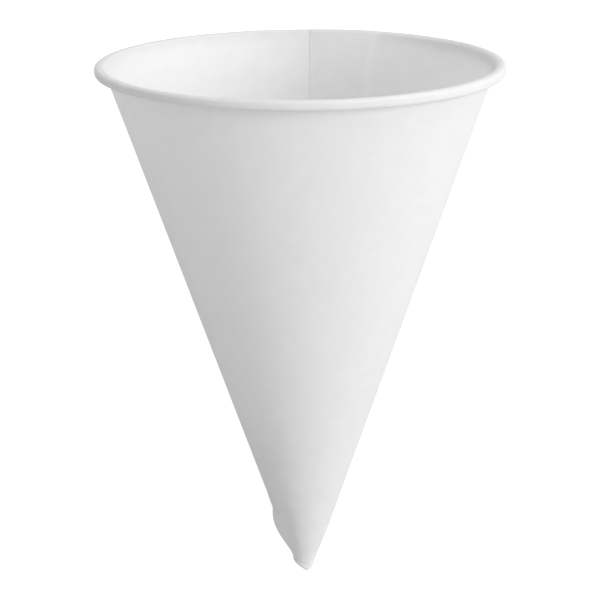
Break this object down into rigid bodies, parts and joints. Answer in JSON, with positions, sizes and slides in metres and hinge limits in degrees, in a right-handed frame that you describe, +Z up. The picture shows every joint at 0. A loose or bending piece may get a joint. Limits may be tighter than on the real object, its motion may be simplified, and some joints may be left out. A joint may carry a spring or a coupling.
{
  "type": "cone paper cup",
  "caption": "Cone-shaped paper cup with a rolled rim, a glued lap seam and a tucked, folded tip, lying on its side as it comes to rest.",
  "frame": {"origin": "centre of the bounding box's bottom face, on the surface that the cup lies on", "axes": "+Z up from the surface; the cup lies on its lap with its tip towards -Y and its mouth towards +Y and up, its axis in the YZ plane at about 20.4 degrees to the surface"},
  "size_m": [0.073, 0.1012, 0.0682],
  "materials": {
    "white_paper": "matte uncoated white paper"
  },
  "bodies": {
    "root": {"cone_cup": "white_paper"}
  },
  "joints": []
}
